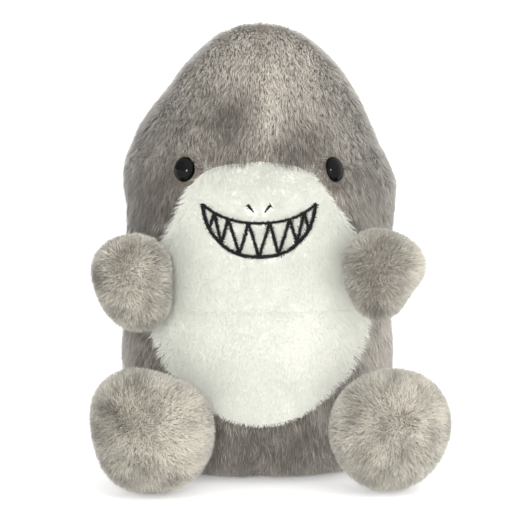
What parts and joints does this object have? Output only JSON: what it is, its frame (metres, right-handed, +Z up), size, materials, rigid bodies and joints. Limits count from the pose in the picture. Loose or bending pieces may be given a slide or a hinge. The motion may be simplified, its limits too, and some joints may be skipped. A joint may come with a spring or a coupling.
{
  "type": "plush shark toy",
  "caption": "Small sitting plush shark with a domed furry head and body, a white face and tummy, an embroidered toothy grin, stub arms, ball feet, a back fin and a tail.",
  "frame": {"origin": "middle of the flat base panel, on the surface the toy sits on", "axes": "+Z up, the face looks along -Y, the toy's own left side is +X"},
  "size_m": [0.0979, 0.1134, 0.1269],
  "materials": {
    "grey_pile": "long soft pile, grey-brown with pale tips, combed down",
    "pale_pile": "long soft pile, pale warm grey, brushed out from the middle",
    "white_pile": "short dense white pile, very soft",
    "fibre_fill": "loose white polyester fibre",
    "pouch_cloth": "plain thin woven cotton",
    "beads": "round plastic pellets packed together",
    "black_thread": "black embroidery thread in raised satin stitch",
    "grey_thread": "matt polyester sewing thread",
    "label_satin": "white woven satin tape, blank",
    "eye_gloss": "polished black plastic dome",
    "washer_plastic": "plain moulded plastic"
  },
  "bodies": {
    "torso": {"head_skin_left": "grey_pile", "head_skin_right": "grey_pile", "body_skin": "grey_pile", "base_panel": "grey_pile", "face_panel": "white_pile", "tummy_panel": "white_pile", "head_stuffing": "fibre_fill", "body_stuffing": "fibre_fill", "bead_pouch": "pouch_cloth", "pouch_beads": "beads", "mouth_embroidery": "black_thread", "nostril_embroidery_left": "black_thread", "nostril_embroidery_right": "black_thread", "neck_seam_thread": "grey_thread", "base_seam_thread": "grey_thread", "face_seam_thread": "grey_thread", "tummy_seam_thread": "grey_thread", "crown_seam_thread": "grey_thread", "back_closing_stitch": "grey_thread", "care_label": "label_satin", "eye_left": "eye_gloss", "eye_right": "eye_gloss", "eye_washer_left": "washer_plastic", "eye_washer_right": "washer_plastic"},
    "arm_left": {"arm_left_outer_skin": "pale_pile", "arm_left_inner_skin": "pale_pile", "arm_left_stuffing": "fibre_fill", "arm_left_root_stitch": "grey_thread"},
    "arm_right": {"arm_right_outer_skin": "pale_pile", "arm_right_inner_skin": "pale_pile", "arm_right_stuffing": "fibre_fill", "arm_right_root_stitch": "grey_thread"},
    "foot_left": {"foot_left_upper_skin": "pale_pile", "foot_left_lower_skin": "pale_pile", "foot_left_beads": "beads", "foot_left_root_stitch": "grey_thread"},
    "foot_right": {"foot_right_upper_skin": "pale_pile", "foot_right_lower_skin": "pale_pile", "foot_right_beads": "beads", "foot_right_root_stitch": "grey_thread"},
    "dorsal_fin": {"dorsal_fin_skin_left": "grey_pile", "dorsal_fin_skin_right": "grey_pile", "dorsal_fin_stuffing": "fibre_fill"},
    "tail": {"tail_skin_left": "grey_pile", "tail_skin_right": "grey_pile", "tail_stuffing": "fibre_fill"}
  },
  "joints": [
    {"name": "arm_left_swing", "type": "hinge", "parent": "torso", "child": "arm_left", "pos_m": [0.03435, -0.01917, 0.05691], "axis": [-1, 0, 0], "range_deg": [-25, 20], "stiffness_Nm_per_rad": 0.015},
    {"name": "arm_right_swing", "type": "hinge", "parent": "torso", "child": "arm_right", "pos_m": [-0.03435, -0.01917, 0.05691], "axis": [-0.9976, 0.0698, 0], "range_deg": [-25, 22], "stiffness_Nm_per_rad": 0.015},
    {"name": "foot_left_swing", "type": "hinge", "parent": "torso", "child": "foot_left", "pos_m": [0.03086, -0.02202, 0.01555], "axis": [-0.9511, -0.309, 0], "range_deg": [-15, 22], "stiffness_Nm_per_rad": 0.03},
    {"name": "foot_right_swing", "type": "hinge", "parent": "torso", "child": "foot_right", "pos_m": [-0.02451, -0.02689, 0.01551], "axis": [-0.9511, 0.309, 0], "range_deg": [-15, 22], "stiffness_Nm_per_rad": 0.03},
    {"name": "dorsal_fin_flop", "type": "hinge", "parent": "torso", "child": "dorsal_fin", "pos_m": [0, 0.0352, 0.079], "axis": [0, 0, 1], "range_deg": [-25, 25], "stiffness_Nm_per_rad": 0.01},
    {"name": "tail_wag", "type": "hinge", "parent": "torso", "child": "tail", "pos_m": [0, 0.0335, 0.017], "axis": [0, 0, 1], "range_deg": [-30, 30], "stiffness_Nm_per_rad": 0.01}
  ]
}
